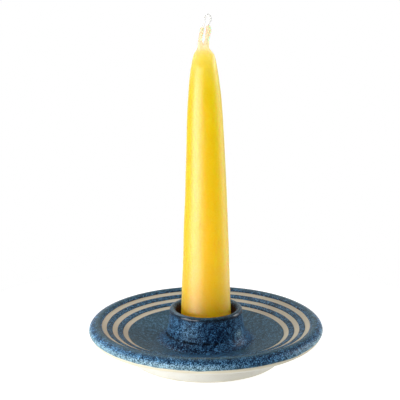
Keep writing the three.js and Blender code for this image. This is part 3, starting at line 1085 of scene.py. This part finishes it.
def wax_material():
    """Beeswax: light scatters under a satin surface, with a faint bloom in patches and streaks, and the wax
    is paler where it is drawn thin up the tip, which also has a painted glow for light from behind."""
    look, top = sizes().wax_look, neck_top()
    made, s, shader = material("Dipped beeswax")
    grain = sandy(s, WAX_GRAIN, WAX_PATCH)
    place = s.add("TexCoord").outputs["Object"]
    stretch = s.add("Mapping", {"Vector": place, "Scale": STREAK_SCALE}).outputs["Vector"]
    streaks = s.add("TexNoise", {"Vector": stretch, "Scale": 1.0, "Detail": 2.0}).outputs["Fac"]
    cloudy = s.maths("MULTIPLY", s.ranged(streaks, *STREAK_RANGE), grain["Patches"])
    height = s.add("SeparateXYZ", {"Vector": place}).outputs["Z"]
    ends = {"From Min": top - DRAWN_BELOW_NECK, "From Max": top + DRAWN_ABOVE_NECK}
    up = s.add("MapRange", {"Value": height, **ends}).outputs[0]
    thin = s.maths("POWER", up, 2.0)
    wax = veiled(s, opaque(look.body), opaque(look.bloom), cloudy, BLOOM_SHOWN)
    wax = s.between(thin, wax, opaque(look.drawn))
    dull = s.ranged(grain["Patches"], 0.0, 1.0, *(look.roughness * share_of for share_of in DULL_RANGE))
    shine = s.ranged(grain["Sand"], 0.3, 0.7, *SHINE_RANGE)
    shine = s.maths("MULTIPLY", shine, s.maths("MULTIPLY_ADD", thin, SHINE_LOST_AT_TIP, 1.0))
    # Painted glow in the thin tip, less on the legs, for light from behind that comes through the wax
    through = s.maths("MULTIPLY", thin, s.ranged(up, 0.8, 1.0, 1.0, PAINTED_GLOW_ON_LEGS))
    shader.subsurface_method = "RANDOM_WALK_SKIN"
    s.dress(shader, {
        "Base Color": wax,
        "Roughness": dull,
        "IOR": WAX_INDEX,
        "Coat Weight": shine,
        "Coat Roughness": look.roughness,
        "Subsurface Weight": 1.0,
        "Subsurface Anisotropy": FORWARD_SCATTER,
        "Subsurface Radius": RED_GREEN_BLUE_REACH,
        "Subsurface Scale": look.depth,
        "Emission Color": s.between(through, BLACK, opaque(look.lit)),
        "Emission Strength": PAINTED_GLOW_STRENGTH,
    })
    streaky = s.maths("MULTIPLY", streaks, STREAKS_IN_RELIEF)
    rise = s.maths("ADD", streaky, s.maths("MULTIPLY", grain["Sand"], GRAIN_IN_RELIEF))
    bumped(s, shader, rise, WAX_RELIEF)
    return made


# Cotton: the fibres' lie, the painted glow that brightens them, and how open they are

FIBRES_ACROSS = 5.0
FIBRE_WAVE = {"Scale": 0.32, "Distortion": 2.5, "Detail": 2.0}
COTTON_ROUGHNESS = 0.9
COTTON_SHEEN = 0.3
COTTON_PAINTED_GLOW = 0.14
COTTON_COVER = (0.6, 0.9)
FIBRE_RELIEF = 0.00003


def cotton_material():
    """Bleached cotton plies: fine fibres that wind round each ply, with a faint painted glow."""
    look = sizes().cotton_look
    made, s, shader = material("Plaited cotton")
    uv = s.add("UVMap", uv_map="along").outputs["UV"]
    lie = s.add("Mapping", {"Vector": uv, "Scale": (look.fibre_turns, FIBRES_ACROSS, 1.0)}).outputs["Vector"]
    wave = s.add("TexWave", {"Vector": lie, **FIBRE_WAVE}, bands_direction="DIAGONAL")
    fibres = wave.outputs["Fac"]
    cotton = s.between(fibres, opaque(look.shade), opaque(look.fibre))
    s.dress(shader, {
        "Base Color": cotton,
        "Roughness": COTTON_ROUGHNESS,
        "Sheen Weight": COTTON_SHEEN,
        # Painted glow: the cotton emits its own colour, so that it shows brighter than its light makes it
        "Emission Color": cotton,
        "Emission Strength": COTTON_PAINTED_GLOW,
        "Alpha": s.ranged(fibres, 0.2, 0.8, *COTTON_COVER),
    })
    bumped(s, shader, fibres, FIBRE_RELIEF)
    return made


def kept(name, make):
    """A material made once and shared by its pieces."""
    return bpy.data.materials.get(name) or make()


# Pieces


def bell(points, centre, width):
    """1 at a place on a section, falling off as a bell curve of the distance from it."""
    return np.exp(-((np.linalg.norm(points - centre, axis=1) / width) ** 2))


def hump(way, middle, width):
    """1 at an angle or a place along a line, falling off as a bell curve of the way from it."""
    return np.exp(-(((way - middle) / width) ** 2))


# Warmer, darker clay at the foot's standing edge, and painted shade where the foot meets the underside:
# amounts and widths

STANDING_TONE, STANDING_WIDTH = 0.7, 0.0011
SHOULDER_SHADE, SHOULDER_WIDTH = 0.45, 0.0006
CUP_TONE = 0.6
CUP_STEP = 0.0005


class CANDLE_OT_dish(Operator):
    """Turn the dish with its foot, its floor and its rounded rim"""

    bl_idname = "candle.dish"
    bl_label = "Dish"

    def execute(self, context):
        s = sizes().saucer
        outline = dish_outline()
        upper = outline[:, 1] > rim_centre()[1] - s.rim_belly / 2
        floor = (outline[:, 0] < rim_centre()[0]) & (outline[:, 1] >= s.seat_height - SAME_POINT)
        standing = bell(outline, (s.foot_radius, 0.0), STANDING_WIDTH) * STANDING_TONE
        # Painted shade: a darker line where the foot meets the underside
        top = (s.foot_radius + s.foot_flare, s.foot_height)
        shoulder = bell(outline, top, SHOULDER_WIDTH) * SHOULDER_SHADE
        tone_and_shade = np.where(upper | floor, 1.0, np.maximum(standing, shoulder))
        dish = turned("thrown_dish", outline, {"tone_and_shade": tone_and_shade})
        dressed(dish, SAUCER, "stoneware", kept("Bare stoneware", clay_material), "dish")
        return {"FINISHED"}


class CANDLE_OT_cup(Operator):
    """Turn the candle cup, and press the coil round its foot"""

    bl_idname = "candle.cup"
    bl_label = "Cup and coil"

    def execute(self, context):
        c, s = sizes().cup, sizes().saucer
        bottom = s.seat_height + c.slip_joint
        bore = bore_line()[0, 0]
        corners = [[bore, bottom], [c.foot_radius, bottom]]
        cup = joined(corners, wall_line()[::-1], lip_line()[::-1], corners[:1])
        coil = coil_line()
        start = [[coil[0, 0], bottom]]
        roll = joined(start, coil[coil[:, 1] > bottom][::-1], start)
        for name, outline, node in (("clay_cup", cup, "candle_cup"), ("pressed_coil", roll, "luting_coil")):
            section = evenly(outline, CUP_STEP)[:-1]
            piece = turned(name, section, {"tone_and_shade": np.full(len(section), CUP_TONE)})
            dressed(piece, SAUCER, "stoneware", kept("Bare stoneware", clay_material), node)
        return {"FINISHED"}


# Glaze on the bands, with a painted sheen, and on the rim: crystals, thin crest and hem, its runs, painted
# shade as fewer crystals at the front right, and a nick

BANDS = (("outer_band", "outer_band_glaze"), ("inner_band", "inner_band_glaze"))
BAND_FROST = 0.4
BAND_PAINTED_SHEEN = 0.35
RIM_FROST = 0.4
RIM_CROWD = 0.48
CROWD_FROM, CROWD_OVER = 0.05, 0.6
CREST_OUT, CREST_WIDTH, CREST_THIN = 0.0002, 0.0015, 0.85
HEM_WIDTH, HEM_THIN = 0.0009, 0.5
RUNS_FINE = 0.6
RIM_SHADE_AT, RIM_SHADE_WIDTH = math.radians(299), math.radians(20)
NICK_AT, NICK_WIDTH = math.radians(284.8), math.radians(0.8)

# Crease over the coil: where it is deepest, how far round it reaches, how broken it is, and its dark line of
# pooled glaze and painted shade

CREASE_MIDDLE = math.radians(232)
CREASE_CLOSES = 0.35
CREASE_FADE = 0.35
CREASE_EVEN, CREASE_BROKEN, CREASE_MOST = 0.75, 0.5, 1.3
CREASE_LEAST = 0.12
CREASE_SHADE_BELOW = 0.0001
CREASE_SHADE_WIDTHS = 2.8
CREASE_SHADE_AMOUNT = 1.4

# Glaze on the well and the cup: the lip, the dark and the gloss below it, the painted sheen on the floor and
# the shade in front that takes it away, and painted shade and warm light from the wax inside the bore

LIP_WIDTH = 0.001
DARK_OUT, DARK_BELOW, DARK_WIDTH, DARK_AMOUNT = 0.0002, 0.0008, 0.001, 0.95
GLOSS_BELOW, GLOSS_WIDTH = 0.0006, 0.0008
FLOOR_FROM, FLOOR_FADE, FLOOR_PAINTED_SHEEN = 0.001, 0.003, 0.68
SHADE_FROM, SHADE_FADE, SHADE_AMOUNT = 0.75, 0.2, 0.85
WELL_FROST, CUP_FROST = 0.37, 0.04
CUP_FROM, CUP_FADE = 0.0008, 0.002
BORE_SHADE_FADE = 0.0004
BORE_SHADE_BELOW, BORE_SHADE_DROP = 0.0006, 0.0012

# Painted highlight, sheen and shade on the cup, as more or fewer crystals: angle, width in angle, height over
# the crease, reach and amount

PAINTED_LIGHT_ON_CUP = (
    # painted highlight on the coil at the right
    (math.radians(329), math.radians(9), 0.0024, 0.0018, 0.5),
    # painted sheen on the wall at the left
    (math.radians(243), math.radians(15), 0.0046, 0.0035, 0.17),
    # painted shade on the wall at the right front
    (math.radians(289), math.radians(21), 0.0046, 0.005, -0.14),
)


class CANDLE_OT_glaze(Operator):
    """Melt the glaze over the rim, the two bands and the well"""

    bl_idname = "candle.glaze"
    bl_label = "Glaze"

    def execute(self, context):
        s, g = sizes().saucer, sizes().glaze
        theta = np.arange(s.sides) * 2 * math.pi / s.sides
        edges = stripe_edges()
        wander = [g.edge_waver * wavering(theta, 20 + i, 3, 30) for i in range(6)]
        self.rim(theta, edges, wander[0])
        for i, (name, node) in enumerate(BANDS):
            coat = Coat(floor_line(edges[i + 1, 0], edges[i, 1]), (True, True))
            shift = coat.wavered(wander[2 * i + 1], wander[2 * i + 2])
            even = np.ones(len(coat.outline))
            # Painted sheen: the band takes the thin colour for the room's reflection
            marks = {"frost": BAND_FROST * even, "thin": BAND_PAINTED_SHEEN * even}
            self.finish(name, coat, shift, "slate_glaze", node, **marks)
        self.well(theta, edges, wander[5])
        return {"FINISHED"}

    def finish(self, name, coat, shift, slot, node, **given):
        """Turns a coat with its marks and gives it its finish."""
        marks = dict.fromkeys(GLAZE_MARKS, np.zeros(len(coat.outline)))
        marks.update(given)
        piece = turned(name, coat.outline, marks, shift)
        dressed(piece, SAUCER, slot, kept("Speckled blue glaze", glaze_material), node)

    def rim(self, theta, edges, wander):
        """Glaze over the rim. Under the widest line it runs down further in places."""
        s, g = sizes().saucer, sizes().glaze
        low = math.asin(g.apron / s.rim_belly) / QUARTER
        apron = arc(rim_centre(), (s.rim_overhang, s.rim_belly), 0, -low, 4)
        clay = joined(floor_line(edges[0, 0], edges[0, 0] + SAME_POINT)[:1], crown_line(), apron)
        coat = Coat(clay, (True, True), over_step=0.0002)
        crest = rim_centre() + [CREST_OUT, s.rim_crown]
        runs = g.apron_waver * (wavering(theta, 31, 2, 9) + RUNS_FINE * wavering(theta, 32, 10, 34))
        shift = coat.wavered(wander, runs)
        down = (rim_centre()[1] + s.rim_crown - coat.outline[:, 1]) / (s.rim_crown + g.apron)
        outside = coat.outline[:, 0] > rim_centre()[0]
        denser = RIM_CROWD * eased((down - CROWD_FROM) / CROWD_OVER) * outside
        # Painted shade: fewer crystals on the rim's outside at the front right, where little light falls
        frost = RIM_FROST + denser[:, None] * (1 - hump(theta, RIM_SHADE_AT, RIM_SHADE_WIDTH))
        hem = bell(coat.outline, apron[-1], HEM_WIDTH)
        thin = np.maximum(CREST_THIN * bell(coat.outline, crest, CREST_WIDTH), HEM_THIN * hem)
        nick = hem[:, None] * hump(theta, NICK_AT, NICK_WIDTH)
        self.finish("rim_coat", coat, shift, "blue_glaze", "rim_glaze", frost=frost, thin=thin, pooled=nick)

    def well(self, theta, edges, wander):
        """Glaze over the floor, the coil and the cup, inside and out, with the groove over the coil."""
        c = sizes().cup
        clay = joined([[0.0, bore_line()[0, 1]]], bore_line(), lip_line(), wall_line(), coil_line())
        clay = joined(clay, floor_line(c.coil_radius, edges[-1, 1]))
        coat = Coat(clay, (False, True))
        corner = np.array([c.foot_radius, c.coil_top])
        gap = np.where(coat.over > 0, np.linalg.norm(coat.outline - corner, axis=1), np.inf)
        way = travelled(coat.outline)
        groove = hump(way, way[gap.argmin()], c.crease_width) * coat.over
        front_left = eased((np.cos(theta - CREASE_MIDDLE) - CREASE_CLOSES) / CREASE_FADE)
        uneven = np.clip(CREASE_EVEN + CREASE_BROKEN * wavering(theta, 41, 5, 40), 0.0, CREASE_MOST)
        broken = uneven * (CREASE_LEAST + (1 - CREASE_LEAST) * front_left)
        inward = leftward(coat.outline)[:, None, :] * (groove[:, None] * broken)[..., None]
        shift = coat.wavered(None, wander) + inward * c.crease_depth
        side = c.foot_radius - c.foot_flare
        under_lip = bell(coat.outline, (side + DARK_OUT, c.lip_height - DARK_BELOW), DARK_WIDTH)
        # Dark line along the crease: glaze pooled in the groove, and painted shade
        crease_shade = hump(way, way[gap.argmin()] - CREASE_SHADE_BELOW, CREASE_SHADE_WIDTHS * c.crease_width) * coat.over
        pooled = np.clip(CREASE_SHADE_AMOUNT * crease_shade[:, None] * broken + DARK_AMOUNT * under_lip[:, None], 0.0, 1.0)
        # Painted sheen: the floor takes the thin colour for the room's reflection, less in front, where it is
        # in shade
        floor = eased((coat.outline[:, 0] - c.coil_radius + FLOOR_FROM) / FLOOR_FADE)
        shaded = eased((-np.sin(theta) - SHADE_FROM) / SHADE_FADE)
        lip = bell(coat.outline, (side - c.lip_wall / 2, c.lip_height), LIP_WIDTH)
        thin = np.maximum(lip[:, None], FLOOR_PAINTED_SHEEN * floor[:, None] * (1 - SHADE_AMOUNT * shaded))
        gloss = bell(coat.outline, (side, c.lip_height - GLOSS_BELOW), GLOSS_WIDTH)
        on_cup = eased((coat.outline[:, 1] - sizes().saucer.seat_height - CUP_FROM) / CUP_FADE)
        on_cup = on_cup * (coat.outline[:, 0] < c.coil_radius)
        frost = (WELL_FROST + CUP_FROST * on_cup)[:, None]
        # Painted highlight, sheen and shade on the cup, as more or fewer crystals
        for middle, width, above, reach, amount in PAINTED_LIGHT_ON_CUP:
            place = bell(coat.outline, (c.foot_radius, c.coil_top + above), reach)[:, None]
            frost = frost + amount * place * hump(theta, middle, width)
        # Painted shade and warm light from the wax on the glaze inside the bore
        inside = (lip_line()[0, 0] - coat.outline[:, 0]) / BORE_SHADE_FADE + 0.5
        below = (c.lip_height - BORE_SHADE_BELOW - coat.outline[:, 1]) / BORE_SHADE_DROP
        shade_and_wax_light = np.clip(inside, 0.0, 1.0) * np.clip(below, 0.0, 1.0)
        marks = {"frost": frost, "thin": thin, "pooled": pooled, "shade_and_wax_light": shade_and_wax_light, "gloss": gloss}
        self.finish("well_coat", coat, shift, "blue_glaze", "well_glaze", **marks)


class CANDLE_OT_wax(Operator):
    """Dip the taper, with the wax on the two legs of its wick"""

    bl_idname = "candle.wax"
    bl_label = "Wax"

    def execute(self, context):
        dressed(build_wax(), CANDLE, "beeswax", wax_material(), "wax_taper")
        return {"FINISHED"}


class CANDLE_OT_wick(Operator):
    """Plait the doubled wick with its bare loop"""

    bl_idname = "candle.wick"
    bl_label = "Wick"

    def execute(self, context):
        dressed(build_wick(), CANDLE, "cotton", cotton_material(), "wick")
        return {"FINISHED"}


# Stage

# Lamps: azimuth and elevation in degrees, width and height in metres, and the look that holds its brightness

LAMPS = (
    ("Low key", -54, -11, 0.9, 0.3, "key"),
    ("Side lamp", -62, 10, 0.35, 0.3, "side"),
    ("Front fill", -30, 9, 0.2, 0.12, "fill"),
    ("Rear lamp", -140, 45, 0.7, 0.6, "rear"),
    ("Low strip", 112, -11, 0.45, 0.3, "strip"),
    ("Right lamp", 108, 15, 0.3, 0.25, "right"),
)
LAMP_DISTANCE = 0.9
LAMP_AIM = 0.06

# Room: how far the light reaches overhead, the way to its brightest place, and where both start and are full

OVERHEAD = 0.9
BEHIND, BELOW = 0.954, 0.3
BACKDROP_RANGE = (0.1, 0.6)
BACKLIGHT_RANGE = (0.88, 0.96)

SENSOR_WIDTH = 36.0
TABLE_SIDES = 128
TABLE_TOP = -0.0001
TABLE_ROUGHNESS = 0.9
SEEN_BRIGHTER = 0.12


def lamp(name, azimuth, elevation, width, height, radiance):
    """A lamp panel that faces the cup. Azimuth is in degrees from the camera's side, to the right, elevation
    is in degrees above the cup, and its power is radiance times pi times its area."""
    data = bpy.data.lights.new(name, "AREA")
    data.shape, data.size, data.size_y = "RECTANGLE", width, height
    data.energy = radiance * math.pi * width * height
    panel = bpy.data.objects.new(name, data)
    a, e = math.radians(azimuth), math.radians(elevation)
    away = Vector((math.sin(a) * math.cos(e), -math.cos(a) * math.cos(e), math.sin(e)))
    panel.location = away * LAMP_DISTANCE + Vector((0.0, 0.0, LAMP_AIM))
    panel.rotation_euler = (-away).to_track_quat("-Z", "Y").to_euler()
    bpy.context.scene.collection.objects.link(panel)


def studio_world(backdrop, backlight):
    """A room that is white to the camera, and to the candle bright behind and overhead and dark in front."""
    world = bpy.data.worlds.new("Studio")
    world.use_nodes = True
    s = Shading(world.node_tree)
    world.node_tree.nodes.clear()
    way = s.add("SeparateXYZ", {"Vector": s.add("TexCoord").outputs["Generated"]}).outputs
    lean = s.maths("ADD", way["Y"], s.maths("MULTIPLY", way["Z"], OVERHEAD))
    behind = s.maths("SUBTRACT", s.maths("MULTIPLY", way["Y"], BEHIND), s.maths("MULTIPLY", way["Z"], BELOW))
    light = s.ranged(lean, *BACKDROP_RANGE, 0.0, backdrop)
    light = s.maths("ADD", light, s.ranged(behind, *BACKLIGHT_RANGE, 0.0, backlight))
    lit = s.add("Background", {"Color": WHITE, "Strength": light})
    white = s.add("Background", {"Color": WHITE})
    seen = s.add("LightPath").outputs["Is Camera Ray"]
    mixed = s.add("MixShader", {0: seen, 1: lit.outputs[0], 2: white.outputs[0]})
    s.add("OutputWorld", {"Surface": mixed.outputs[0]})
    bpy.context.scene.world = world


def table_material(tint, glow):
    """A matt white table, lit from below as a light table is, and a little brighter to the camera, so that it
    is white outside the shadow."""
    made, s, shader = material("Table")
    seen = s.add("LightPath").outputs["Is Camera Ray"]
    s.dress(shader, {
        "Base Color": opaque(tint),
        "Roughness": TABLE_ROUGHNESS,
        "Emission Color": WHITE,
        "Emission Strength": s.maths("MULTIPLY_ADD", seen, SEEN_BRIGHTER, glow),
    })
    return made


class CANDLE_OT_stage(Operator):
    """Set the camera, the floor and the soft studio light"""

    bl_idname = "candle.stage"
    bl_label = "Stage"

    def execute(self, context):
        look = sizes().stage
        data = bpy.data.cameras.new("Camera")
        data.lens, data.sensor_width = look.lens, SENSOR_WIDTH
        data.clip_start, data.clip_end = 0.01, 20.0
        camera = bpy.data.objects.new("Camera", data)
        camera.location = (look.camera_side, -look.camera_back, look.camera_up)
        camera.rotation_euler = (math.radians(90 - look.camera_pitch), 0.0, 0.0)
        context.scene.collection.objects.link(camera)
        context.scene.camera = camera
        for name, azimuth, elevation, width, height, level in LAMPS:
            lamp(name, azimuth, elevation, width, height, getattr(look, level))
        turn = np.arange(TABLE_SIDES) * 2 * math.pi / TABLE_SIDES
        level = np.full(TABLE_SIDES, TABLE_TOP)
        edge = np.stack([np.cos(turn) * look.table, np.sin(turn) * look.table, level], axis=1)
        ground = mesh_object("ground", edge, [np.arange(TABLE_SIDES)[None]])
        ground.data.materials.append(table_material(look.ground, look.glow))
        studio_world(look.backdrop, look.backlight)
        context.scene.view_settings.view_transform = "Standard"
        return {"FINISHED"}


class CandleSizes(PropertyGroup):
    """Everything about the candle and its saucer that can be set."""

    saucer: PointerProperty(type=SaucerSizes)
    cup: PointerProperty(type=CupSizes)
    glaze: PointerProperty(type=GlazeSizes)
    taper: PointerProperty(type=TaperSizes)
    wick: PointerProperty(type=WickSizes)
    glaze_look: PointerProperty(type=GlazeLook)
    clay_look: PointerProperty(type=ClayLook)
    wax_look: PointerProperty(type=WaxLook)
    cotton_look: PointerProperty(type=CottonLook)
    stage: PointerProperty(type=StageLook)


def sizes():
    """The sizes and looks set in the scene."""
    return bpy.context.scene.candle_and_saucer


PIECES = ("dish", "cup", "glaze", "wax", "wick", "stage")


class CANDLE_PT_panel(Panel):
    """Lists the pieces and their sizes"""

    bl_idname = "CANDLE_PT_panel"
    bl_label = "Candle and saucer"
    bl_space_type = "VIEW_3D"
    bl_region_type = "UI"
    bl_category = "Candle"

    def draw(self, context):
        for piece in PIECES:
            self.layout.operator("candle." + piece)
        for part in CandleSizes.__annotations__:
            group = getattr(sizes(), part)
            box = self.layout.box()
            for name in group.__annotations__:
                box.prop(group, name)


CLASSES = (
    SaucerSizes, CupSizes, GlazeSizes, TaperSizes, WickSizes,
    GlazeLook, ClayLook, WaxLook, CottonLook, StageLook, CandleSizes,
    CANDLE_OT_dish, CANDLE_OT_cup, CANDLE_OT_glaze, CANDLE_OT_wax, CANDLE_OT_wick, CANDLE_OT_stage,
    CANDLE_PT_panel,
)


def register():
    """Makes the classes and the scene's sizes known."""
    for cls in CLASSES:
        bpy.utils.register_class(cls)
    bpy.types.Scene.candle_and_saucer = PointerProperty(type=CandleSizes)


def unregister():
    """Takes them away again."""
    del bpy.types.Scene.candle_and_saucer
    for cls in reversed(CLASSES):
        bpy.utils.unregister_class(cls)


def main():
    """Makes every piece and the stage."""
    register()
    for piece in PIECES:
        getattr(bpy.ops.candle, piece)()


if __name__ == "__main__":
    main()
